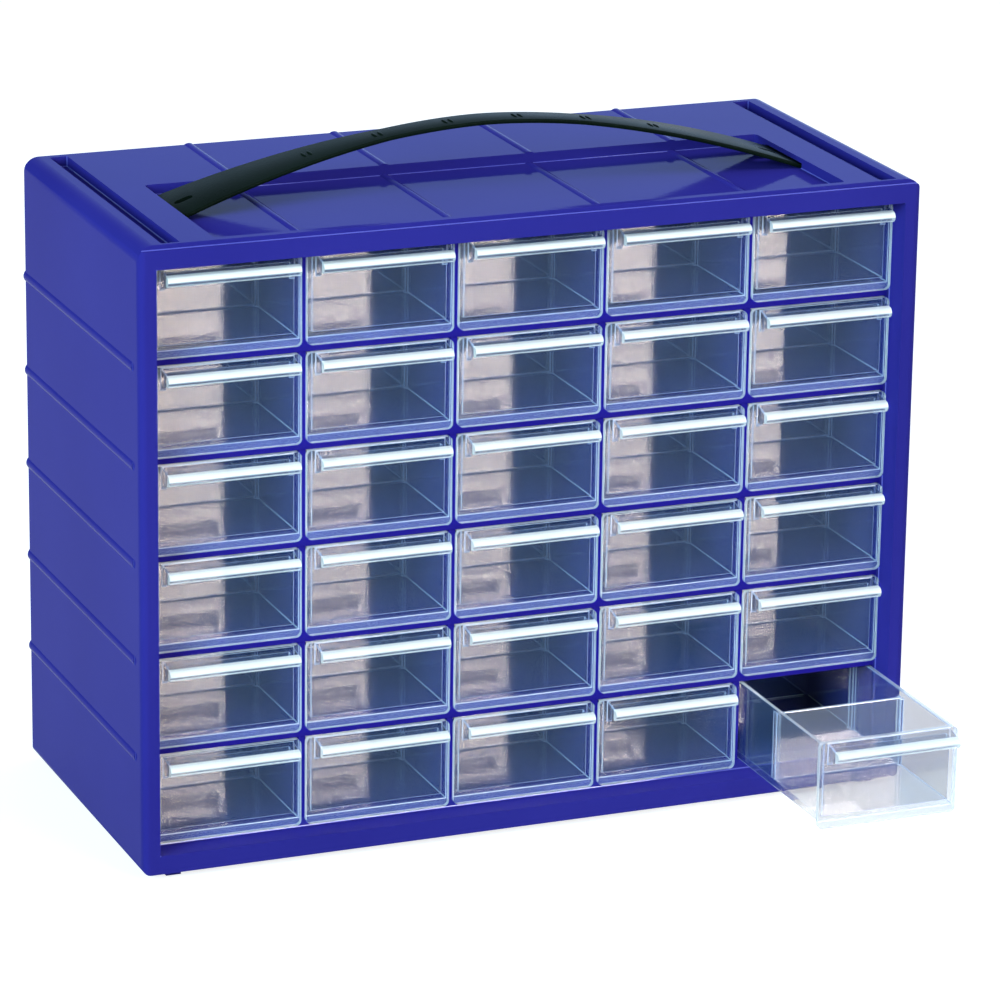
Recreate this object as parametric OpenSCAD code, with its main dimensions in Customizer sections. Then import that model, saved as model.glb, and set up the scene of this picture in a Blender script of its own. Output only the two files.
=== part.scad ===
// Parts bin cabinet: a blue moulded housing with five columns and six rows of clear drawers.
// x runs across the front, y from the front to the back, z up. The lowest point is the foot rails.

/* [Housing] */
// Width of the housing, without the side beads
cab_w = 310; // [290:1:335]
// Depth of the housing, front frame to back face
cab_d = 140; // [125:1:160]
// Height of the housing, foot rails left out
cab_h = 240; // [228:1:262]
// Width of each side stile of the front frame
stile_w = 6.7; // [5.5:0.1:9]
// Height of the bottom rail of the front frame
bottom_rail = 7.2; // [6:0.1:10]
// Height of the top rail of the front frame
top_rail = 9; // [8.6:0.1:12]
// Distance that the drawer fronts lie behind the front frame
front_recess = 8.7; // [6:0.1:12]
// Radius of the long top edges
top_edge_r = 6; // [3:0.5:8]
// Radius of the upright front edges
front_edge_r = 3; // [1.5:0.5:5]
// Height of the step along the top front edge
bezel_step = 2; // [1:0.1:3]
// Depth of the step along the top front edge
bezel_tread = 1.5; // [1:0.1:2.4]
// Width of the raised beads on the sides and the top
bead_w = 3.6; // [2.4:0.1:5]
// Height of the raised beads
bead_h = 0.6; // [0.3:0.1:1]
// Height of the foot rails
foot_h = 2.4; // [1.5:0.1:3.5]

/* [Top] */
// Distance from each side to the handle recess
recess_side = 30; // [29:1:45]
// Distance from the front to the handle recess
recess_front = 4.7; // [3.5:0.1:8]
// Distance from the front to the back wall of the recess
recess_back = 85; // [70:1:100]
// Depth of the handle recess
recess_depth = 4; // [3.5:0.1:5]
// Thickness of the wall under the recess and the slots
recess_floor_t = 1.8; // [1.2:0.1:2.4]
// Distance from each side to the middle of a stacking slot
slot_inset = 13; // [11:0.5:14]
// Width of a stacking slot
slot_w = 7; // [5:0.5:8]
// Depth of a stacking slot
slot_depth = 4; // [2.8:0.1:5]

/* [Cells] */
// Thickness of the shelves and the upright partitions
web_t = 2.4; // [1.8:0.1:3]
// Thickness of the turned-down lip along a shelf's front
lip_t = 2.4; // [1.6:0.1:3]
// Thickness of the back panel
back_t = 2.2; // [1.6:0.1:3]
// Depth of the grooves that hold the shelf ends
groove_d = 1.5; // [1:0.1:2.2]

/* [Drawers] */
// Gap between two drawer fronts, sideways
front_gap_x = 2; // [1.4:0.1:3]
// Gap between two drawer fronts, up and down
front_gap_z = 2.8; // [2.2:0.1:3.6]
// Thickness of a drawer front
front_t = 2; // [1.4:0.1:2.6]
// Corner radius of a drawer front
front_r = 2.2; // [1:0.1:4]
// Thickness of a drawer's walls and floor
wall_t = 1.6; // [1.2:0.1:2.2]
// Reach of the pull in front of the drawer front
pull_reach = 9; // [6:0.5:12]
// Radius of the pull's rounded bar
bar_r = 2; // [1.4:0.1:2.6]
// Thickness of a divider
divider_t = 1.4; // [1:0.1:2]
// Distance that the bottom right drawer is pulled out
pulled_out = 71; // [0:1:100]

/* [Strap handle] */
// Distance from the front to the middle of the strap
strap_y = 60; // [45:1:62]
// Width of the strap at its ends
strap_end_w = 32; // [24:1:40]
// Width of the strap's grip
strap_grip_w = 13; // [9:0.5:20]
// Length over which each end tapers to the grip
taper_l = 86; // [60:1:95]
// Thickness of the strap
strap_t = 1.6; // [1.2:0.1:2]
// Height of the strap's crown above the top of the housing
strap_rise = 22.5; // [18:0.5:32]
// Length of the flat end that lies in the housing's pocket
tongue_l = 10; // [7:0.5:11]

/* [Hidden] */
cols = 5;
rows = 6;
$fn = 48;

// Colours
housing_blue = [0.17, 0.16, 0.56];
clear_plastic = [0.78, 0.80, 0.86, 0.4];
strap_black = [0.11, 0.14, 0.13];

// Clearances
run_clear = 0.4;        // under a drawer, and between its front and the cell's edge
side_clear = 0.5;       // at each side of a drawer
lip_clear = 0.5;        // between a drawer's top edge and the lip above it
stop_clear = 0.5;       // left between a drawer's catch and the lip at full travel
rear_clear = 0.6;       // between a closed drawer and the back panel
fit_clear = 0.1;        // where plates slot together or sit in a groove
pocket_clear = 0.8;     // at the sides and the end of the strap's tongue in its pocket
rail_clear = 0.6;       // at each side of a foot rail in the stacking slot below it
rail_end_clear = 1;     // at each end of a foot rail in the stacking slot below it
cut = 1;                // how far a cutting shape runs past a face
sink = 0.5;             // how far a joined shape runs into its neighbour

// Grid of cells: a column or row line is the middle of the gap between two drawer fronts
pitch_x = (cab_w - 2 * stile_w) / cols;
pitch_z = (cab_h - bottom_rail - top_rail) / rows;
top_z = foot_h + cab_h;
cell_front = front_recess + front_t + run_clear;
panel_y = cab_d - back_t;
shelf_under = front_gap_z / 2;
shelf_over = shelf_under + web_t;
cavity_x = stile_w + web_t / 2;
floor_z = row_z(0) + shelf_over;
recess_z = top_z - recess_depth;
ceiling_z = top_z - max(recess_depth, slot_depth) - recess_floor_t;
half_y = (cell_front + panel_y) / 2;

// Drawer, measured from its column line, the face of its front and its row line
front_w = pitch_x - front_gap_x;
front_h = pitch_z - front_gap_z;
front_top = pitch_z - front_gap_z / 2;
tray_x = web_t / 2 + side_clear;
tray_w = pitch_x - 2 * tray_x;
tray_z = shelf_over + run_clear;
tray_top = front_top - lip_clear;
tray_l = panel_y - rear_clear - front_recess;
tray_r = 3;
bay_l = (tray_l - front_t - wall_t) / 3;
rib_t = 1.3;
divider_drop = 2.5;
catch_w = 16;
catch_top = pitch_z + shelf_under / 2 - run_clear;
travel = front_recess + tray_l - wall_t - cell_front - lip_t - stop_clear;
shown_out = min(pulled_out, travel);
pull_inset = 4.3;
hood_t = 1.8;
gusset_h = 9;
gusset_t = 1.5;

// Strap
pocket_h = fit_clear + strap_t + run_clear;
strap_end_z = recess_z + fit_clear + strap_t;
strap_half = cab_w / 2 - recess_side;
strap_sag = strap_rise + top_z - strap_end_z;
strap_r = (strap_half * strap_half + strap_sag * strap_sag) / (2 * strap_sag);
hang_hole_x = 7;
hang_hole_l = 7;
hang_hole_w = 3.6;

// Stacking slots, closed at each end, and the back panel, let in below them
slot_wall_t = 1.5;
slot_floor_t = 1.2;
slot_end = bezel_tread + slot_wall_t;
panel_inset = slot_depth + slot_floor_t;

// Frame: the origin is under the middle of the whole cabinet, with the open drawer
origin_y = (cab_d + front_recess - shown_out - pull_reach) / 2;

function col_x(i) = stile_w + i * pitch_x;
function row_z(j) = foot_h + bottom_rail + j * pitch_z;
function bead_r() = (bead_w * bead_w / 4 + bead_h * bead_h) / (2 * bead_h);
function shelf_name(j) = str("shelf_", j);
function partition_name(i) = str("partition_", i);
function drawer_name(r, c) = str("drawer_r", r, "_c", c);
function open_by(r, c) = (r == 1 && c == cols) ? shown_out : 0;

module in_frame() {
    translate([-cab_w / 2, -origin_y, 0]) children();
}

// Rectangle from the origin with its own radius at the low and at the high corners
module soft_rect(w, h, r_low, r_high) {
    translate([r_low, 0]) square([w - 2 * r_low, h / 2]);
    translate([0, r_low]) square([w, h / 2 - r_low]);
    translate([r_high, h / 2]) square([w - 2 * r_high, h / 2]);
    translate([0, h / 2]) square([w, h / 2 - r_high]);
    for (x = [r_low, w - r_low]) translate([x, r_low]) circle(r_low);
    for (x = [r_high, w - r_high]) translate([x, h - r_high]) circle(r_high);
}

// Extrudes an outline drawn in x and z along y, from y0 to y1
module along_y(y0, y1) {
    translate([0, y1, 0]) rotate([90, 0, 0]) linear_extrude(y1 - y0) children();
}

// Extrudes an outline drawn in y and z along x, from x0 to x1
module along_x(x0, x1) {
    translate([x0, 0, 0]) rotate([90, 0, 90]) linear_extrude(x1 - x0) children();
}

// ---------------------------------------------------------------- housing

module outer_block() {
    rear_edge_r = 1;
    intersection() {
        translate([0, 0, foot_h]) along_y(0, cab_d) soft_rect(cab_w, cab_h, front_edge_r, top_edge_r);
        translate([0, 0, foot_h]) linear_extrude(cab_h) soft_rect(cab_w, cab_d, front_edge_r, rear_edge_r);
    }
}

// Beads along y: a shallow arc that stands out of the face by bead_h
module side_beads() {
    bead_start = 8;
    for (j = [1:rows - 1], right = [0, 1])
        translate([right ? cab_w + bead_h - bead_r() : bead_r() - bead_h, bead_start, row_z(j)])
            rotate([-90, 0, 0]) cylinder(r = bead_r(), h = cab_d - bead_start);
}

module top_beads() {
    for (i = [1:cols - 1]) {
        translate([col_x(i), recess_back, top_z + bead_h - bead_r()])
            rotate([-90, 0, 0]) cylinder(r = bead_r(), h = cab_d - recess_back);
        translate([col_x(i), recess_front - sink, recess_z + bead_h - bead_r()])
            rotate([-90, 0, 0]) cylinder(r = bead_r(), h = recess_back - recess_front + 2 * sink);
    }
}

// Handle recess, with a pocket at each end for the strap's tongue
module handle_recess() {
    recess_r = 2;
    pocket_w = strap_end_w + 2 * pocket_clear;
    pocket_l = tongue_l + pocket_clear;
    translate([recess_side, recess_front, recess_z])
        linear_extrude(top_z - recess_z + cut)
            soft_rect(cab_w - 2 * recess_side, recess_back - recess_front, recess_r, recess_r);
    for (x = [recess_side - pocket_l, cab_w - recess_side - recess_r])
        translate([x, strap_y - pocket_w / 2, recess_z])
            cube([pocket_l + recess_r, pocket_w, pocket_h]);
}

// Blind slots in the top that take the foot rails of a cabinet stacked above
module stacking_slots() {
    for (x = [slot_inset, cab_w - slot_inset])
        translate([x - slot_w / 2, slot_end, top_z - slot_depth])
            cube([slot_w, cab_d - 2 * slot_end, slot_depth + cut]);
}

module foot_rails() {
    rail_w = slot_w - 2 * rail_clear;
    rail_end = slot_end + rail_end_clear;
    for (x = [slot_inset, cab_w - slot_inset])
        translate([x - rail_w / 2, rail_end, 0])
            cube([rail_w, cab_d - 2 * rail_end, foot_h + cut]);
}

// Front opening, the hollow behind it and the grooves for the shelves
module cell_hollow() {
    translate([stile_w, -cut, row_z(0)])
        cube([cab_w - 2 * stile_w, cell_front + cut, rows * pitch_z]);
    translate([cavity_x, cell_front - cut, floor_z])
        cube([cab_w - 2 * cavity_x, lip_t + 2 * cut, row_z(rows) - shelf_under - floor_z]);
    translate([cavity_x, cell_front + lip_t, floor_z])
        cube([cab_w - 2 * cavity_x, cab_d, ceiling_z - floor_z]);
    for (j = [1:rows - 1])
        translate([cavity_x - groove_d, cell_front, row_z(j) + shelf_under - fit_clear])
            cube([cab_w - 2 * cavity_x + 2 * groove_d, cab_d, web_t + 2 * fit_clear]);
}

// Plate in the back rebate, or the rebate itself, drawn in by clear on each edge
module back_plate(clear, t) {
    inset = panel_inset + clear;
    translate([inset, panel_y, foot_h + inset]) cube([cab_w - 2 * inset, t, cab_h - 2 * inset]);
}

// Pockets moulded into the underside, one below each column
module underside_pockets() {
    rim = 18;
    skin = 2.4;
    for (i = [0:cols - 1])
        translate([max(col_x(i) + web_t, rim), rim, foot_h - cut])
            cube([min(col_x(i + 1) - web_t, cab_w - rim) - max(col_x(i) + web_t, rim),
                  cab_d - 2 * rim, floor_z - skin - foot_h + cut]);
}

module housing() {
    color(housing_blue) in_frame() difference() {
        union() {
            difference() {
                outer_block();
                handle_recess();
            }
            side_beads();
            top_beads();
            foot_rails();
        }
        translate([-cut, -cut, top_z - bezel_step])
            cube([cab_w + 2 * cut, bezel_tread + cut, bezel_step + cut]);
        stacking_slots();
        cell_hollow();
        back_plate(0, back_t + cut);
        underside_pockets();
    }
}

module back_panel() {
    color(housing_blue) in_frame() back_plate(fit_clear, back_t);
}

// ---------------------------------------------------------------- cells

// A shelf runs across all columns. The partitions drop into slots cut from its back edge.
module shelf(j) {
    groove_fit = groove_d - fit_clear;
    color(housing_blue) in_frame() translate([0, 0, row_z(j)]) difference() {
        union() {
            translate([cavity_x - groove_fit, cell_front, shelf_under])
                cube([cab_w - 2 * cavity_x + 2 * groove_fit, panel_y - cell_front, web_t]);
            translate([cavity_x, cell_front, -shelf_under])
                cube([cab_w - 2 * cavity_x, lip_t, 2 * shelf_under]);
        }
        for (i = [1:cols - 1])
            translate([col_x(i) - web_t / 2 - fit_clear, half_y, shelf_under - cut])
                cube([web_t + 2 * fit_clear, cab_d, web_t + 2 * cut]);
    }
}

// A partition stands the full height. It is cut from its front edge where each shelf passes.
module partition(i) {
    color(housing_blue) in_frame() translate([col_x(i) - web_t / 2, 0, 0]) difference() {
        translate([0, cell_front, floor_z]) cube([web_t, panel_y - cell_front, ceiling_z - floor_z]);
        translate([-cut, cell_front - cut, row_z(rows) - shelf_under - fit_clear])
            cube([web_t + 2 * cut, lip_t + cut + fit_clear, pitch_z]);
        for (j = [1:rows - 1]) translate([-cut, cell_front - cut, row_z(j)]) {
            translate([0, 0, shelf_under - fit_clear])
                cube([web_t + 2 * cut, half_y - cell_front + cut, web_t + 2 * fit_clear]);
            translate([0, 0, -shelf_under - fit_clear])
                cube([web_t + 2 * cut, lip_t + cut + fit_clear, 2 * shelf_under + fit_clear]);
        }
    }
}

// ---------------------------------------------------------------- drawers

module tray_shell() {
    difference() {
        union() {
            along_y(0, front_t)
                translate([front_gap_x / 2, front_gap_z / 2]) soft_rect(front_w, front_h, front_r, front_r);
            translate([tray_x, front_t / 2, tray_z])
                linear_extrude(tray_top - tray_z) tray_plan(tray_w, tray_l - front_t / 2, tray_r);
        }
        translate([tray_x + wall_t, front_t, tray_z + wall_t])
            linear_extrude(pitch_z) tray_plan(tray_w - 2 * wall_t, tray_l - front_t - wall_t, tray_r - wall_t);
    }
}

// Plan of a tray: square at the front, rounded at the back
module tray_plan(w, l, r) {
    square([w, l - r]);
    translate([r, 0]) square([w - 2 * r, l]);
    for (x = [r, w - r]) translate([x, l - r]) circle(r);
}

// Pull: a hood that slopes out of the top edge and ends in a rounded bar, closed by a gusset at each end
module pull() {
    bar_y = bar_r - pull_reach;
    bar_z = front_top - hood_t - bar_r;
    along_x(pull_inset, pitch_x - pull_inset) {
        polygon([[front_t, front_top], [bar_y, bar_z + bar_r], [bar_y, bar_z], [front_t, front_top - hood_t]]);
        translate([bar_y, bar_z]) circle(bar_r);
    }
    for (x = [pull_inset, pitch_x - pull_inset - gusset_t])
        along_x(x, x + gusset_t)
            polygon([[front_t / 2, front_top - hood_t / 2], [bar_y, bar_z], [front_t / 2, front_top - gusset_h]]);
}

// Two pairs of upright ribs on each side wall, which part the tray into three equal bays
module divider_ribs() {
    rib_h = tray_top - tray_z - divider_drop;
    for (k = [1, 2], side = [-1, 1], right = [0, 1])
        translate([right ? tray_x + tray_w - wall_t - rib_t : tray_x + wall_t - fit_clear,
                   bay_y(k) + (side < 0 ? -rib_t - divider_t / 2 - fit_clear : divider_t / 2 + fit_clear),
                   tray_z + wall_t / 2])
            cube([rib_t + fit_clear, rib_t, rib_h - wall_t / 2]);
}

function bay_y(k) = front_t + k * bay_l;

// Catch on the back wall that stops against the lip above when the drawer is fully out
module rear_catch() {
    translate([(pitch_x - catch_w) / 2, tray_l - wall_t, tray_top - wall_t])
        cube([catch_w, wall_t, catch_top - tray_top + wall_t]);
}

module divider() {
    side_gap = wall_t + fit_clear;
    translate([tray_x + side_gap, bay_y(1) - divider_t / 2, tray_z + wall_t + fit_clear])
        cube([tray_w - 2 * side_gap, divider_t, tray_top - tray_z - wall_t - divider_drop]);
}

// One drawer with its lift-out divider, r rows up and c columns from the left
module drawer(r, c) {
    color(clear_plastic) in_frame()
        translate([col_x(c - 1), front_recess - open_by(r, c), row_z(r - 1)]) {
            tray_shell();
            pull();
            divider_ribs();
            rear_catch();
            divider();
        }
}

// ---------------------------------------------------------------- strap handle

// Side view of the arched strap, with its flat tongues
module strap_side() {
    arc_sides = 720;
    intersection() {
        translate([cab_w / 2, strap_end_z + strap_sag - strap_r]) difference() {
            circle(strap_r, $fn = arc_sides);
            circle(strap_r - strap_t, $fn = arc_sides);
        }
        translate([recess_side, strap_end_z - 2 * strap_t]) square([2 * strap_half, 2 * strap_sag]);
    }
    for (x = [recess_side - tongue_l, cab_w - recess_side - cut])
        translate([x, strap_end_z - strap_t]) square([tongue_l + cut, strap_t]);
}

// The strap's plan: wide ends that taper to the grip, drawn as one outline round the middle
module strap_plan() {
    half = [[strap_half - taper_l, strap_grip_w / 2], [strap_half, strap_end_w / 2],
            [strap_half + tongue_l, strap_end_w / 2]];
    back = [for (p = half) [-p[0], p[1]]];
    side = concat([for (k = [len(half) - 1:-1:0]) back[k]], half);
    polygon(concat(side, [for (k = [len(side) - 1:-1:0]) [side[k][0], -side[k][1]]]));
}

module strap_handle() {
    hole_x = strap_half - hang_hole_x;
    hole_run = (hang_hole_l - hang_hole_w) / 2;
    color(strap_black) in_frame() difference() {
        intersection() {
            along_y(0, cab_d) strap_side();
            translate([cab_w / 2, strap_y, 0]) linear_extrude(top_z + 2 * strap_rise) strap_plan();
        }
        for (side = [-1, 1])
            translate([cab_w / 2 + side * hole_x, strap_y, recess_z]) linear_extrude(strap_sag + top_z) {
                for (end = [-1, 1]) translate([end * hole_run, 0]) circle(hang_hole_w / 2);
                translate([-hole_run, -hang_hole_w / 2]) square([2 * hole_run, hang_hole_w]);
            }
    }
}

housing();
back_panel();
strap_handle();
for (j = [1:rows - 1]) shelf(j);
for (i = [1:cols - 1]) partition(i);
for (r = [1:rows], c = [1:cols]) drawer(r, c);
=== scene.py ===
"""Looks of the parts bin cabinet: materials, a finer strap, soft studio light and the camera."""

import math

import bmesh
import bpy
from mathutils import Matrix, Vector


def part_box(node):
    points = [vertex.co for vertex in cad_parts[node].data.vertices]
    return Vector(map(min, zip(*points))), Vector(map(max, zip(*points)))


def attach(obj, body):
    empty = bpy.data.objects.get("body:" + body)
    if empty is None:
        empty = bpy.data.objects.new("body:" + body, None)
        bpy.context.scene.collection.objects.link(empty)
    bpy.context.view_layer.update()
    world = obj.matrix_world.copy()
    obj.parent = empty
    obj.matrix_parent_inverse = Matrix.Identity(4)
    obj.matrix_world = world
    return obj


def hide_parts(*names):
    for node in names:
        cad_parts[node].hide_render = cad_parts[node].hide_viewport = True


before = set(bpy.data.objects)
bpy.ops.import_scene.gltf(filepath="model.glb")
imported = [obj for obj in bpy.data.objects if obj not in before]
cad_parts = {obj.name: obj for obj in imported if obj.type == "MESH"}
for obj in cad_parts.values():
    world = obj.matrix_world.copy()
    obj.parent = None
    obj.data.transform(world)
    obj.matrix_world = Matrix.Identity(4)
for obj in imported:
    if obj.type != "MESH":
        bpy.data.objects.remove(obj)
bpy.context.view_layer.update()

MM = 0.001

# ---------------------------------------------------------------- places taken from the frame

HOUSING_LOW, HOUSING_HIGH = (Vector(corner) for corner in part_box("housing"))
STRAP_LOW, STRAP_HIGH = (Vector(corner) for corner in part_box("strap_handle"))
DRAWERS = sorted(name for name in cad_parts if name.startswith("drawer_"))
DRAWER_LOW, DRAWER_HIGH = (Vector(corner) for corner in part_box(DRAWERS[0]))
DRAWER_L = DRAWER_HIGH.y - DRAWER_LOW.y
INNER_BLUE_NODES = ["back_panel"] + sorted(
    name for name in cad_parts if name.startswith(("shelf_", "partition_"))
)

# ---------------------------------------------------------------- camera

CAMERA_PLACE = (-0.7021, -1.7187, 0.7137)
CAMERA_YAW = 22.19      # degrees from +Y towards +X
CAMERA_PITCH = 17.69    # degrees below the horizon
CAMERA_ROLL = 0.81      # degrees, counterclockwise
CAMERA_NEAR, CAMERA_FAR = 0.05, 100
FOCAL_PIXELS = 5147.0   # focal length as pixels of a frame 1000 pixels wide
SENSOR_MM = 36.0
FRAME_PIXELS = 1000.0


def add_camera():
    """Camera at the photograph's viewing angle."""
    yaw, pitch, roll = (math.radians(a) for a in (CAMERA_YAW, CAMERA_PITCH, CAMERA_ROLL))
    level = Vector((math.sin(yaw), math.cos(yaw), 0))
    ahead = level * math.cos(pitch) - Vector((0, 0, math.sin(pitch)))
    right = ahead.cross(Vector((0, 0, 1))).normalized()
    up = right.cross(ahead)
    turned_right = math.cos(roll) * right + math.sin(roll) * up
    turned_up = math.cos(roll) * up - math.sin(roll) * right
    data = bpy.data.cameras.new("camera")
    data.sensor_width = SENSOR_MM
    data.lens = FOCAL_PIXELS / FRAME_PIXELS * SENSOR_MM
    data.clip_start, data.clip_end = CAMERA_NEAR, CAMERA_FAR
    camera = bpy.data.objects.new("camera", data)
    turn = Matrix((turned_right, turned_up, -ahead)).transposed().to_4x4()
    camera.matrix_world = Matrix.Translation(CAMERA_PLACE) @ turn
    bpy.context.scene.collection.objects.link(camera)
    bpy.context.scene.camera = camera


# ---------------------------------------------------------------- shader nodes

NOISE_ROUGHNESS = 0.5
NOISE_LOW, NOISE_HIGH = 0.3, 0.7    # nearly all of a noise lies between these
PATCH_DETAIL = 3.0                  # octaves of the large, soft patterns
EVEN_BLEND = 0.5                    # a Layer Weight's Facing is then 1 minus the cosine of the view
SCHLICK_POWER = 5.0


def new_material(name):
    """An empty node material, with its node tree and its Principled shader."""
    material = bpy.data.materials.new(name)
    material.use_nodes = True
    tree = material.node_tree
    return material, tree, tree.nodes["Principled BSDF"]


def add_node(tree, kind, **inputs):
    """A node with some of its inputs set. An underscore in a keyword stands for a space."""
    node = tree.nodes.new(kind)
    for name, value in inputs.items():
        node.inputs[name.replace("_", " ")].default_value = value
    return node


def linked_math(tree, operation, value, second, third=None):
    """A Math node on one linked value and plain numbers."""
    node = tree.nodes.new("ShaderNodeMath")
    node.operation = operation
    tree.links.new(value, node.inputs[0])
    node.inputs[1].default_value = second
    if third is not None:
        node.inputs[2].default_value = third
    return node.outputs[0]


def joined_math(tree, operation, first, second):
    """A Math node on two linked values."""
    node = tree.nodes.new("ShaderNodeMath")
    node.operation = operation
    tree.links.new(first, node.inputs[0])
    tree.links.new(second, node.inputs[1])
    return node.outputs[0]


def largest(tree, values):
    """The largest of several values, as a chain of Maximum nodes."""
    result = values[0]
    for value in values[1:]:
        result = joined_math(tree, "MAXIMUM", result, value)
    return result


def mapped(tree, value, from_min, from_max, to_min, to_max):
    """Takes one range of a value onto another, and holds it inside that."""
    node = add_node(
        tree, "ShaderNodeMapRange", From_Min=from_min, From_Max=from_max, To_Min=to_min, To_Max=to_max
    )
    tree.links.new(value, node.inputs["Value"])
    return node.outputs["Result"]


def step_down(tree, value, place, run):
    """1 where a value is below place, falling to 0 over run."""
    return mapped(tree, value, place, place + run, 1.0, 0.0)


def band(tree, value, low, high):
    """1 where a value lies between low and high, and 0 elsewhere."""
    above = linked_math(tree, "GREATER_THAN", value, low)
    below = linked_math(tree, "LESS_THAN", value, high)
    return joined_math(tree, "MULTIPLY", above, below)


def noise(tree, coords, scale, detail=2.0):
    node = add_node(tree, "ShaderNodeTexNoise", Scale=scale, Detail=detail, Roughness=NOISE_ROUGHNESS)
    tree.links.new(coords, node.inputs["Vector"])
    return node.outputs["Fac"]


def spread(tree, value, low, high):
    """Spreads a noise over the range from low to high."""
    return mapped(tree, value, NOISE_LOW, NOISE_HIGH, low, high)


def bump(tree, height, distance):
    node = add_node(tree, "ShaderNodeBump", Strength=1.0, Distance=distance)
    tree.links.new(height, node.inputs["Height"])
    return node.outputs["Normal"]


def mixed_colour(tree, factor, first, second):
    node = tree.nodes.new("ShaderNodeMix")
    node.data_type = "RGBA"
    colours = [s for s in node.inputs if s.type == "RGBA"]
    colours[0].default_value = (*first, 1)
    colours[1].default_value = (*second, 1)
    tree.links.new(factor, node.inputs["Factor"])
    return next(s for s in node.outputs if s.type == "RGBA")


def mixed_shader(tree, factor, first, second):
    node = tree.nodes.new("ShaderNodeMixShader")
    tree.links.new(factor, node.inputs["Fac"])
    tree.links.new(first, node.inputs[1])
    tree.links.new(second, node.inputs[2])
    return node.outputs["Shader"]


def gloss_share(tree, normal, straight_on):
    """Share of light that a smooth face mirrors: straight_on from in front, and 1 at a grazing view."""
    facing = add_node(tree, "ShaderNodeLayerWeight", Blend=EVEN_BLEND)
    tree.links.new(normal, facing.inputs["Normal"])
    rise = linked_math(tree, "POWER", facing.outputs["Facing"], SCHLICK_POWER)
    total = joined_math(tree, "ADD", rise, straight_on)
    total.node.use_clamp = True
    return total


# ---------------------------------------------------------------- blue plastic

# The darkest and the lightest of the flow marks, and the specular level.
BLUE = ((0.024, 0.020, 0.215), (0.029, 0.025, 0.245), 0.007)
# The housing's edge rounding: a lighter blue than the faces, a painted highlight along the edges.
BLUE_EDGE_HIGHLIGHT = ((0.090, 0.090, 0.440), (0.110, 0.110, 0.480), 0.40)
# The shelves, partitions and back panel: a darker blue, painted shade inside the cells and in the gaps
# between the drawers.
BLUE_INSIDE_SHADED = ((0.014, 0.009, 0.200), (0.018, 0.012, 0.230), 0.011)
BLUE_ROUGHNESS = (0.06, 0.09)
BLUE_IOR = 1.5
FLOW_SCALE = 9.0
PEEL_SCALE = 420.0
PEEL_DEPTH = 0.02 * MM


def blue_plastic(name, dark, light, reflection):
    """Moulded polystyrene: a deep blue with faint flow marks, glossy with a slight orange peel."""
    material, tree, shader = new_material(name)
    coords = tree.nodes.new("ShaderNodeTexCoord").outputs["Object"]
    flow = noise(tree, coords, FLOW_SCALE, PATCH_DETAIL)
    peel = noise(tree, coords, PEEL_SCALE)
    tone = spread(tree, flow, 0.0, 1.0)
    tree.links.new(mixed_colour(tree, tone, dark, light), shader.inputs["Base Color"])
    tree.links.new(spread(tree, flow, *BLUE_ROUGHNESS), shader.inputs["Roughness"])
    tree.links.new(bump(tree, peel, PEEL_DEPTH), shader.inputs["Normal"])
    shader.inputs["IOR"].default_value = BLUE_IOR
    shader.inputs["Specular IOR Level"].default_value = reflection
    return material


# ---------------------------------------------------------------- clear plastic

CLEAR_TINT = (0.71, 0.69, 0.66, 1)
CLEAR_IOR = 1.03            # low, so that a wall bends light as little as a thin sheet does
SHADOW_TINT = (0.97, 0.98, 0.99, 1)
FRONT_GLOSS = 0.008         # share of light that the front plate and the pull mirror, seen straight on
INNER_GLOSS = 0.085         # and the walls behind them
GLOSS_ROUGHNESS = 0.04
RIPPLE_SCALE = 45.0
RIPPLE_DETAIL = 1.0
RIPPLE_DEPTH = 0.02 * MM
# The white of the milk, which is also the colour of the painted highlights on the drawers' edges, the
# pull's bar and the rims.
MILK_AND_HIGHLIGHT = (0.86, 0.84, 0.82)
MILK_ROUGHNESS = 0.15
BLUE_LIGHT_VEIL = (0.11, 0.28, 0.72)   # the clear walls' faint milk, coloured with painted blue light of the housing
WHITENING = 2.0             # how fast the painted blue light turns to milk and painted highlight as the frost grows

# How milky the walls, their broken edges and the parts of a drawer are, from 0 to 1. The white on the
# broken edges, the pull's bar and the rims is a painted highlight.
CLEAR_FROST = 0.04
EDGE_HIGHLIGHT_FROST = 0.45
BAR_HIGHLIGHT_FROST = 0.75
RIM_HIGHLIGHT_FROST = 0.40
MARGIN_FROST = 0.09

# Where these parts lie. Y starts at the pull's front.
BAR_D = 2.6 * MM            # depth of the pull's front that carries the painted highlight
BAR_BLUR = 0.65 * MM        # and the run over which it ends
PLATE_FRONT = 8.8 * MM      # front of the front plate
PLATE_BACK = 11.1 * MM      # and its back
MARGIN_X = 0.040            # from a side of the front plate to the tray's wall, as a share of its width
MARGIN_Z = 0.121            # from its bottom to the tray's floor, as a share of a drawer's height
WALL_TOPS = 0.85            # the tray's rim lies above this share of a drawer's height

# Which way these parts face, by the Y and Z of their normals.
BAR_TURN = (-0.25, 0.1)     # Z on the bar, from its underside to the full painted highlight on its top
BAR_UNDERSIDE = 0.12        # share of the painted highlight that the underside keeps
BAR_BOTTOM = -0.8           # Z is below this on the bar's lower edge, which has a full painted highlight line too
RIM_TURN = (0.5, 0.1)       # Y, either way, is below this on the plate's rim, and the run to none
LEVEL = 0.995               # Z is above this on a wall's top


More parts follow.
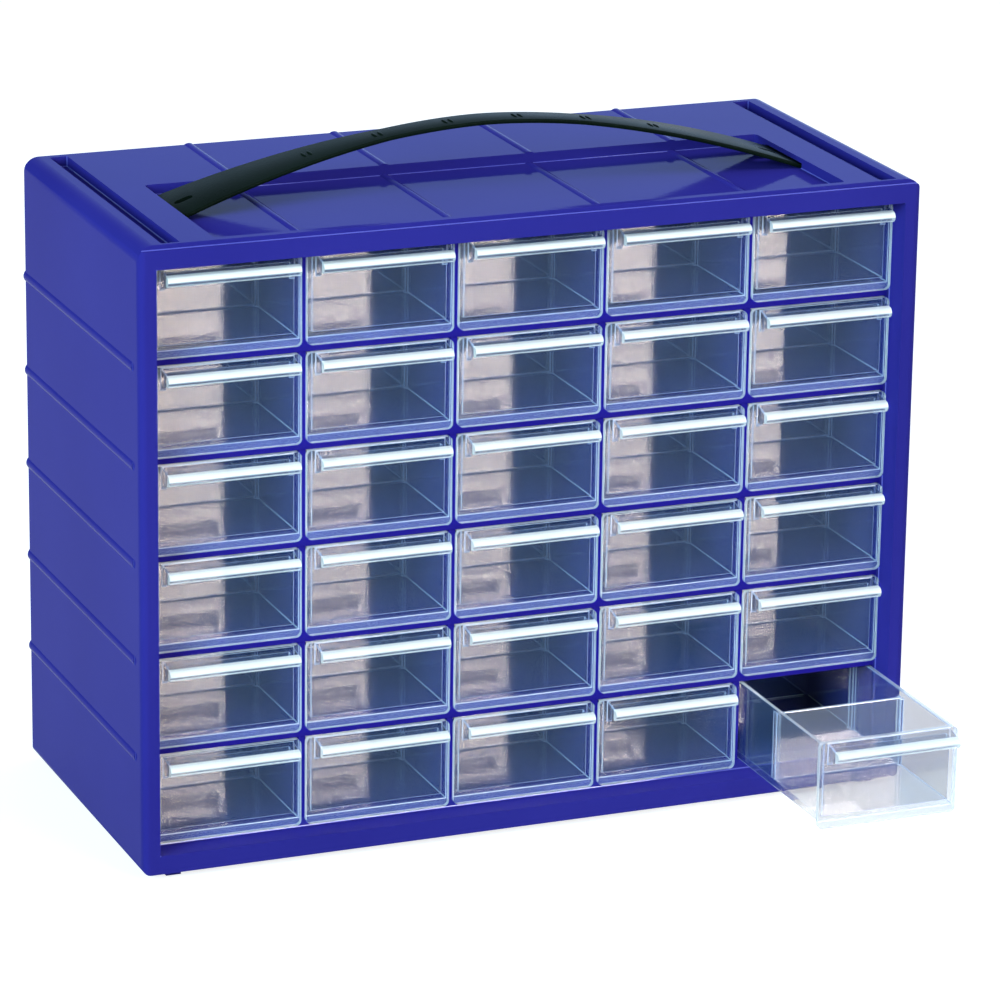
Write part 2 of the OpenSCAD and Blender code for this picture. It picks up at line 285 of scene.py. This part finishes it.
def drawer_shares(tree, texture):
    """Shares of a drawer's surface: the pull's bar, the front plate with the pull, the plate's margin
    outside the tray, and the rims of plate and tray. The bar's share and the rims' share carry painted
    highlights."""
    place, way = (tree.nodes.new("ShaderNodeSeparateXYZ") for _ in range(2))
    tree.links.new(texture.outputs["Generated"], place.inputs["Vector"])
    tree.links.new(texture.outputs["Normal"], way.inputs["Vector"])
    across, along, up = (place.outputs[axis] for axis in "XYZ")
    # The pull's bar: painted highlight, full on its top and on its lower edge, faint on its underside.
    bar_zone = step_down(tree, along, BAR_D / DRAWER_L, BAR_BLUR / DRAWER_L)
    upper = mapped(tree, way.outputs["Z"], *BAR_TURN, BAR_UNDERSIDE, 1.0)
    bottom = linked_math(tree, "LESS_THAN", way.outputs["Z"], BAR_BOTTOM)
    bar = joined_math(tree, "MULTIPLY", bar_zone, largest(tree, [upper, bottom]))
    front = linked_math(tree, "LESS_THAN", along, PLATE_BACK / DRAWER_L)
    plate = band(tree, along, PLATE_FRONT / DRAWER_L, PLATE_BACK / DRAWER_L)
    outside = largest(tree, [
        linked_math(tree, "LESS_THAN", across, MARGIN_X),
        linked_math(tree, "GREATER_THAN", across, 1 - MARGIN_X),
        linked_math(tree, "LESS_THAN", up, MARGIN_Z),
    ])
    margin = joined_math(tree, "MULTIPLY", plate, outside)
    # Rims: painted highlight lines on the front plate's side faces and on the tray walls' tops.
    forward = linked_math(tree, "ABSOLUTE", way.outputs["Y"], 0.0)
    sideways = step_down(tree, forward, *RIM_TURN)
    plate_rim = joined_math(tree, "MULTIPLY", sideways, plate)
    upward = linked_math(tree, "GREATER_THAN", way.outputs["Z"], LEVEL)
    high = linked_math(tree, "GREATER_THAN", up, WALL_TOPS)
    tray_rim = joined_math(tree, "MULTIPLY", upward, high)
    return bar, front, margin, largest(tree, [plate_rim, tray_rim])


def clear_plastic(name, frost):
    """Clear polystyrene in thin walls: light goes nearly straight through, and the faces are glossy.
    frost, from 0 to 1, is how milky it is; on the drawers' edge rounding it is a painted highlight. The
    pull's bar and the rims are white in any case, as painted highlights."""
    material, tree, shader = new_material(name)
    texture = tree.nodes.new("ShaderNodeTexCoord")
    bar, front, margin, rim = drawer_shares(tree, texture)
    ripple = noise(tree, texture.outputs["Object"], RIPPLE_SCALE, RIPPLE_DETAIL)
    normal = bump(tree, ripple, RIPPLE_DEPTH)
    shader.inputs["Base Color"].default_value = CLEAR_TINT
    shader.inputs["Roughness"].default_value = 0.0
    shader.inputs["IOR"].default_value = CLEAR_IOR
    shader.inputs["Transmission Weight"].default_value = 1.0
    gloss = add_node(tree, "ShaderNodeBsdfGlossy", Color=(1, 1, 1, 1), Roughness=GLOSS_ROUGHNESS)
    tree.links.new(normal, gloss.inputs["Normal"])
    straight_on = linked_math(tree, "MULTIPLY_ADD", front, FRONT_GLOSS - INNER_GLOSS, INNER_GLOSS)
    shine = gloss_share(tree, normal, straight_on)
    pane = mixed_shader(tree, shine, shader.outputs["BSDF"], gloss.outputs["BSDF"])
    # Painted highlights on the pull's bar and the rims, and the margin's milk.
    strong = largest(tree, [
        linked_math(tree, "MULTIPLY", share, most)
        for share, most in ((bar, BAR_HIGHLIGHT_FROST), (rim, RIM_HIGHLIGHT_FROST), (margin, MARGIN_FROST))
    ])
    whiteness = linked_math(tree, "MULTIPLY_ADD", strong, WHITENING, frost)
    milk_and_highlight = add_node(tree, "ShaderNodeBsdfPrincipled", Roughness=MILK_ROUGHNESS)
    # From the painted blue light of the veil to the white of the milk and the painted highlights.
    tree.links.new(mixed_colour(tree, whiteness, BLUE_LIGHT_VEIL, MILK_AND_HIGHLIGHT), milk_and_highlight.inputs["Base Color"])
    tree.links.new(normal, milk_and_highlight.inputs["Normal"])
    # Share of the milk shader: the painted highlights, and the margin's and walls' faint milk.
    milky = linked_math(tree, "MULTIPLY_ADD", strong, 1 - frost, frost)
    body = mixed_shader(tree, milky, pane, milk_and_highlight.outputs["BSDF"])
    passing = add_node(tree, "ShaderNodeBsdfTransparent", Color=SHADOW_TINT)
    ray = tree.nodes.new("ShaderNodeLightPath")
    seen = mixed_shader(tree, ray.outputs["Is Shadow Ray"], body, passing.outputs["BSDF"])
    tree.links.new(seen, tree.nodes["Material Output"].inputs["Surface"])
    return material


# ---------------------------------------------------------------- strap plastic and floor

STRAP_DARK, STRAP_LIGHT = (0.003, 0.006, 0.004), (0.005, 0.010, 0.007)
STRAP_ROUGHNESS = (0.26, 0.34)
STRAP_REFLECTION = 0.007
CLOUD_SCALE = 25.0
GRAIN_SCALE = 1400.0
GRAIN_DEPTH = 0.06 * MM

FLOOR_DARK, FLOOR_LIGHT = (0.50, 0.50, 0.50), (0.52, 0.52, 0.52)
FLOOR_SCALE = 2.0
FLOOR_ROUGHNESS = 0.9
FLOOR_GLOW = 0.78
FLOOR_HALF = 30.0


def strap_plastic():
    """Flexible plastic: green-black satin with a fine grain."""
    material, tree, shader = new_material("strap_plastic")
    coords = tree.nodes.new("ShaderNodeTexCoord").outputs["Object"]
    cloud = noise(tree, coords, CLOUD_SCALE, PATCH_DETAIL)
    grain = noise(tree, coords, GRAIN_SCALE)
    tone = spread(tree, cloud, 0.0, 1.0)
    tree.links.new(mixed_colour(tree, tone, STRAP_DARK, STRAP_LIGHT), shader.inputs["Base Color"])
    tree.links.new(spread(tree, cloud, *STRAP_ROUGHNESS), shader.inputs["Roughness"])
    tree.links.new(bump(tree, grain, GRAIN_DEPTH), shader.inputs["Normal"])
    shader.inputs["Specular IOR Level"].default_value = STRAP_REFLECTION
    return material


def floor_material():
    """Matt floor that shows as white wherever no shadow falls on it, in mirrors and glass too."""
    material, tree, shader = new_material("floor_white")
    coords = tree.nodes.new("ShaderNodeTexCoord").outputs["Object"]
    cloud = noise(tree, coords, FLOOR_SCALE)
    tree.links.new(mixed_colour(tree, cloud, FLOOR_DARK, FLOOR_LIGHT), shader.inputs["Base Color"])
    shader.inputs["Roughness"].default_value = FLOOR_ROUGHNESS
    shader.inputs["Specular IOR Level"].default_value = 0.0
    glow = add_node(tree, "ShaderNodeEmission", Color=(1, 1, 1, 1), Strength=FLOOR_GLOW)
    black = add_node(tree, "ShaderNodeEmission", Color=(0, 0, 0, 1), Strength=0.0)
    ray = tree.nodes.new("ShaderNodeLightPath")
    rays = [ray.outputs[name] for name in ("Is Camera Ray", "Is Glossy Ray", "Is Transmission Ray")]
    seen = largest(tree, rays)
    lit = mixed_shader(tree, seen, black.outputs["Emission"], glow.outputs["Emission"])
    total = tree.nodes.new("ShaderNodeAddShader")
    tree.links.new(shader.outputs["BSDF"], total.inputs[0])
    tree.links.new(lit, total.inputs[1])
    tree.links.new(total.outputs["Shader"], tree.nodes["Material Output"].inputs["Surface"])
    return material


def give(node, *materials):
    """Puts materials on a CAD node or a piece, the first of them on its faces."""
    node.data.materials.clear()
    for material in materials:
        node.data.materials.append(material)


def add_floor():
    mesh = bpy.data.meshes.new("floor")
    corners = [(FLOOR_HALF * x, FLOOR_HALF * y, 0) for x, y in ((-1, -1), (1, -1), (1, 1), (-1, 1))]
    mesh.from_pydata(corners, [], [(0, 1, 2, 3)])
    floor = bpy.data.objects.new("floor", mesh)
    give(floor, floor_material())
    bpy.context.scene.collection.objects.link(floor)


# ---------------------------------------------------------------- light

WORLD_DIM = 0.22                    # brightness of most of the surroundings
WORLD_PALE = 2.1                    # and of their pale side
PALE_WAY = (0.8, 0.6, 0.0)
PALE_START, PALE_FULL = 0.4, 0.85   # cosines of the angles from PALE_WAY at which it starts and is full
WORLD_TINT = (0.50, 0.72, 1.0, 1)   # a cool daylight

WHITE = (1.0, 1.0, 1.0)
# Azimuth and elevation in degrees, distance, width and height in metres, power in watts, and colour.
# Azimuth 0 is straight in front, and 90 is to the right.
LAMPS = {
    "front_box": (21, 18, 2.2, 0.9, 0.7, 16, WHITE),
    "left_box": (-60, 20, 2.2, 1.0, 1.0, 56, (0.58, 0.94, 1.0)),
    "front_glint": (22.1, 17.7, 1.95, 0.85, 0.46, 24, (1.0, 0.88, 0.90)),
    "top_box": (50, 62, 1.8, 1.4, 1.0, 16, WHITE),
}


def add_world():
    """Plain studio surroundings, pale behind the cabinet on its right and dim elsewhere."""
    world = bpy.data.worlds.new("world")
    world.use_nodes = True
    bpy.context.scene.world = world
    tree = world.node_tree
    back = tree.nodes["Background"]
    back.inputs["Color"].default_value = WORLD_TINT
    way = tree.nodes.new("ShaderNodeTexCoord")
    toward = tree.nodes.new("ShaderNodeVectorMath")
    toward.operation = "DOT_PRODUCT"
    toward.inputs[1].default_value = PALE_WAY
    tree.links.new(way.outputs["Generated"], toward.inputs[0])
    level = mapped(tree, toward.outputs["Value"], PALE_START, PALE_FULL, WORLD_DIM, WORLD_PALE)
    tree.links.new(level, back.inputs["Strength"])


def add_lamp(name, azimuth, elevation, distance, width, height, power, colour):
    """Soft box aimed at the middle of the housing."""
    target = (HOUSING_LOW + HOUSING_HIGH) / 2
    a, e = math.radians(azimuth), math.radians(elevation)
    way = Vector((math.sin(a) * math.cos(e), -math.cos(a) * math.cos(e), math.sin(e)))
    data = bpy.data.lights.new(name, "AREA")
    data.shape = "RECTANGLE"
    data.size, data.size_y = width, height
    data.energy = power
    data.color = colour
    lamp = bpy.data.objects.new(name, data)
    lamp.location = target + way * distance
    lamp.rotation_euler = way.to_track_quat("Z", "Y").to_euler()
    bpy.context.scene.collection.objects.link(lamp)
    return lamp


def add_lamps():
    """All the lamps. The glint only shows as a mirror image, in the drawers' walls above all."""
    for name, values in LAMPS.items():
        lamp = add_lamp(name, *values)
        lamp.visible_diffuse = name != "front_glint"


# ---------------------------------------------------------------- CAD nodes

EDGE_BREAK = 0.35 * MM
BEVEL_SEGMENTS = 2
SHARP = math.radians(40)            # an edge at a larger angle is a corner of the part
FLAT = math.radians(0.5)            # and one at a smaller angle lies in a flat face
WELD_GAP = 0.002 * MM
SHORTEST_BLUE = 0.6 * MM            # shorter edges keep their corner
SHORTEST_CLEAR = 1.2 * MM


def compared(tree, operation, value, limit):
    """A Compare node on one linked value and a plain number."""
    node = tree.nodes.new("FunctionNodeCompare")
    node.operation = operation
    tree.links.new(value, node.inputs[0])
    node.inputs[1].default_value = limit
    return node.outputs[0]


def joined_logic(tree, operation, first, second):
    """A Boolean Math node on two linked values."""
    node = tree.nodes.new("FunctionNodeBooleanMath")
    node.operation = operation
    tree.links.new(first, node.inputs[0])
    tree.links.new(second, node.inputs[1])
    return node.outputs[0]


def edge_picker(name, shortest, ridges):
    """Geometry nodes that mark sharp edges for the bevel: those longer than shortest in inner corners,
    and on ridges too if ridges is true. The other sharp edges are marked to stay sharp."""
    tree = bpy.data.node_groups.new(name, "GeometryNodeTree")
    for side in ("INPUT", "OUTPUT"):
        tree.interface.new_socket("Geometry", in_out=side, socket_type="NodeSocketGeometry")
    angle = tree.nodes.new("GeometryNodeInputMeshEdgeAngle")
    sharp = compared(tree, "GREATER_THAN", angle.outputs["Unsigned Angle"], SHARP)
    ends = tree.nodes.new("GeometryNodeInputMeshEdgeVertices")
    length = tree.nodes.new("ShaderNodeVectorMath")
    length.operation = "DISTANCE"
    tree.links.new(ends.outputs["Position 1"], length.inputs[0])
    tree.links.new(ends.outputs["Position 2"], length.inputs[1])
    allowed = compared(tree, "GREATER_THAN", length.outputs["Value"], shortest)
    if not ridges:
        # The signed angle is negative in an inner corner.
        hollow = compared(tree, "LESS_THAN", angle.outputs["Signed Angle"], -SHARP)
        allowed = joined_logic(tree, "AND", allowed, hollow)
    geometry = tree.nodes.new("NodeGroupInput").outputs[0]
    for attribute, kind, operation in (
        ("bevel_weight_edge", "FLOAT", "AND"),
        ("sharp_edge", "BOOLEAN", "NIMPLY"),
    ):
        chosen = joined_logic(tree, operation, sharp, allowed)
        store = tree.nodes.new("GeometryNodeStoreNamedAttribute")
        store.data_type = kind
        store.domain = "EDGE"
        store.inputs["Name"].default_value = attribute
        tree.links.new(chosen, store.inputs["Value"])
        tree.links.new(geometry, store.inputs["Geometry"])
        geometry = store.outputs[0]
    tree.links.new(geometry, tree.nodes.new("NodeGroupOutput").inputs[0])
    return tree


def soften(node, picker):
    """Rounds the edges that the picker marks, and gives the rounding the node's last material."""
    weld = node.modifiers.new("weld", "WELD")
    weld.merge_threshold = WELD_GAP
    flats = node.modifiers.new("flats", "DECIMATE")
    flats.decimate_type = "DISSOLVE"
    flats.angle_limit = FLAT
    pick = node.modifiers.new("pick", "NODES")
    pick.node_group = picker
    bevel = node.modifiers.new("edges", "BEVEL")
    bevel.width = EDGE_BREAK
    bevel.segments = BEVEL_SEGMENTS
    bevel.limit_method = "WEIGHT"
    bevel.use_clamp_overlap = False
    bevel.material = len(node.data.materials) - 1
    shading = node.modifiers.new("shading", "WEIGHTED_NORMAL")
    shading.mode = "FACE_AREA"
    shading.keep_sharp = True


def dress_cad():
    """Gives the CAD nodes their materials, and rounds the blue parts' inner corners and all of the
    drawers' edges. The rounding has a material of its own on the housing and the drawers, a lighter
    painted highlight. The shelves, partitions and back panel get a blue painted darker as shade."""
    blue = blue_plastic("blue_plastic", *BLUE)
    # Painted highlight: the lighter blue on the housing's edge rounding.
    blue_edge_highlight = blue_plastic("blue_plastic_painted_edge_highlight", *BLUE_EDGE_HIGHLIGHT)
    # Painted shade: the darker blue of the parts inside the housing.
    blue_inside_shaded = blue_plastic("blue_plastic_painted_inside_shade", *BLUE_INSIDE_SHADED)
    clear = clear_plastic("clear_plastic", CLEAR_FROST)
    # Painted highlight: the whiter frost on the drawers' edge rounding.
    clear_edge_highlight = clear_plastic("clear_plastic_painted_edge_highlight", EDGE_HIGHLIGHT_FROST)
    blue_picker = edge_picker("blue_edges", SHORTEST_BLUE, ridges=False)
    clear_picker = edge_picker("clear_edges", SHORTEST_CLEAR, ridges=True)
    for names, picker, materials in (
        (["housing"], blue_picker, (blue, blue_edge_highlight)),
        (INNER_BLUE_NODES, blue_picker, (blue_inside_shaded,)),
        (DRAWERS, clear_picker, (clear, clear_edge_highlight)),
    ):
        for name in names:
            give(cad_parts[name], *materials)
            soften(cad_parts[name], picker)


# ---------------------------------------------------------------- strap

STRAP_T = 1.6 * MM
GRIP_W = 13 * MM
TAPER_L = 86 * MM           # from each end of the arch to the grip
TONGUE_L = 10 * MM          # flat end, in its pocket
ARCH_POWER = 1.8            # a parabola would have 2; the strap's flanks lie a little lower
STRAP_ROUND = 0.45 * MM
ROUND_STEPS = 3             # steps in each rounded edge
STATION_STEP = 2.5 * MM
SLOT_FROM_END = 7 * MM
SLOT_L, SLOT_W = 7 * MM, 3.6 * MM
SLOT_STEPS = 12             # steps in each half circle
GRIP_MARKS = 6
MARK_STEP = 28 * MM
RIB_GAP = 2.4 * MM          # between the two ribs of a mark
RIB_RADII = (0.65 * MM, 3.0 * MM, 0.45 * MM)
RIB_SEGMENTS, RIB_RINGS = 16, 8
STRAP_SMOOTH = math.radians(50)

ARCH_HALF = (STRAP_HIGH.x - STRAP_LOW.x) / 2 - TONGUE_L
ARCH_END_Z = STRAP_LOW.z + STRAP_T
ARCH_RISE = STRAP_HIGH.z - RIB_RADII[2] - ARCH_END_Z
STRAP_MIDDLE_Y = (STRAP_LOW.y + STRAP_HIGH.y) / 2
STRAP_END_W = STRAP_HIGH.y - STRAP_LOW.y


def strap_width(x):
    taper = max(0.0, min(1.0, (abs(x) - (ARCH_HALF - TAPER_L)) / TAPER_L))
    return GRIP_W + (STRAP_END_W - GRIP_W) * taper


def bent(x, y, z):
    """Takes a point of the flat strap, whose top is at z = 0, onto the arch."""
    share = min(abs(x) / ARCH_HALF, 1.0)
    height = ARCH_END_Z + ARCH_RISE * (1 - share**ARCH_POWER)
    slope = 0.0
    if share < 1.0:
        slope = -math.copysign(ARCH_RISE * ARCH_POWER * share ** (ARCH_POWER - 1) / ARCH_HALF, x)
    length = math.hypot(1, slope)
    return Vector((x - slope / length * z, STRAP_MIDDLE_Y + y, height + z / length))


def strap_section(width):
    """Corners of the strip's section, rounded at its four edges."""
    points = []
    for quarter, (side, top) in enumerate([(1, False), (1, True), (-1, True), (-1, False)]):
        centre_y = side * (width / 2 - STRAP_ROUND)
        centre_z = -STRAP_ROUND if top else -STRAP_T + STRAP_ROUND
        for step in range(ROUND_STEPS + 1):
            turn = math.radians(90 * (quarter - 1 + step / ROUND_STEPS))
            y = centre_y + STRAP_ROUND * math.cos(turn)
            points.append((y, centre_z + STRAP_ROUND * math.sin(turn)))
    return points


def flat_strap():
    """The strip before it is bent, as a closed mesh."""
    half = ARCH_HALF + TONGUE_L
    count = round(2 * half / STATION_STEP)
    mesh = bmesh.new()
    rings = []
    for k in range(count + 1):
        x = -half + 2 * half * k / count
        rings.append([mesh.verts.new((x, y, z)) for y, z in strap_section(strap_width(x))])
    for ring, following in zip(rings, rings[1:]):
        for i in range(len(ring)):
            j = (i + 1) % len(ring)
            mesh.faces.new((ring[i], ring[j], following[j], following[i]))
    mesh.faces.new(rings[0])
    mesh.faces.new(rings[-1])
    bmesh.ops.recalc_face_normals(mesh, faces=mesh.faces)
    return mesh


def slot_cutter(middle):
    """A prism of a slot's outline, from below the strip to above it."""
    mesh = bmesh.new()
    run = (SLOT_L - SLOT_W) / 2
    outline = []
    for end in (1, -1):
        for step in range(SLOT_STEPS + 1):
            turn = math.radians(180 * step / SLOT_STEPS - 90 * end)
            x = middle + end * run + SLOT_W / 2 * math.cos(turn)
            outline.append((x, SLOT_W / 2 * math.sin(turn)))
    low = [mesh.verts.new((x, y, -2 * STRAP_T)) for x, y in outline]
    bottom = mesh.faces.new(low)
    raised = bmesh.ops.extrude_face_region(mesh, geom=[bottom])["geom"]
    for corner in raised:
        if isinstance(corner, bmesh.types.BMVert):
            corner.co.z = STRAP_T
    bmesh.ops.recalc_face_normals(mesh, faces=mesh.faces)
    return mesh


def linked_object(name, mesh):
    """An object in the scene with a bmesh's shape. The bmesh is freed."""
    data = bpy.data.meshes.new(name)
    mesh.to_mesh(data)
    mesh.free()
    piece = bpy.data.objects.new(name, data)
    bpy.context.scene.collection.objects.link(piece)
    return piece


def add_ribs(mesh):
    """Pairs of small raised ribs across the strap, in a row along it."""
    for mark in range(GRIP_MARKS):
        middle = (mark - (GRIP_MARKS - 1) / 2) * MARK_STEP
        for side in (-1, 1):
            place = Matrix.Translation((middle + side * RIB_GAP / 2, 0, 0))
            shape = Matrix.Diagonal((*RIB_RADII, 1))
            bmesh.ops.create_uvsphere(
                mesh, u_segments=RIB_SEGMENTS, v_segments=RIB_RINGS, radius=1, matrix=place @ shape
            )


def cut_slots(strap):
    """The mesh of the flat strap with a slot near each end."""
    cutters = []
    for side in (-1, 1):
        cutter = linked_object("slot_cutter", slot_cutter(side * (ARCH_HALF - SLOT_FROM_END)))
        cut = strap.modifiers.new("slot", "BOOLEAN")
        cut.object = cutter
        cut.solver = "EXACT"
        cutters.append(cutter)
    bpy.context.view_layer.update()
    slotted = strap.evaluated_get(bpy.context.evaluated_depsgraph_get())
    flat = bpy.data.meshes.new_from_object(slotted)
    strap.modifiers.clear()
    for cutter in cutters:
        bpy.data.objects.remove(cutter)
    return flat


def add_strap():
    """The carrying strap: a strip with rounded edges, a slot near each end and a row of ribs."""
    strap = linked_object("strap", flat_strap())
    mesh = bmesh.new()
    mesh.from_mesh(cut_slots(strap))
    add_ribs(mesh)
    for corner in mesh.verts:
        corner.co = bent(*corner.co)
    mesh.to_mesh(strap.data)
    mesh.free()
    strap.data.shade_smooth()
    strap.data.set_sharp_from_angle(angle=STRAP_SMOOTH)
    give(strap, strap_plastic())
    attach(strap, "cabinet")
    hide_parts("strap_handle")


add_camera()
add_world()
add_floor()
add_lamps()
dress_cad()
add_strap()

bpy.context.scene.view_settings.view_transform = "Standard"
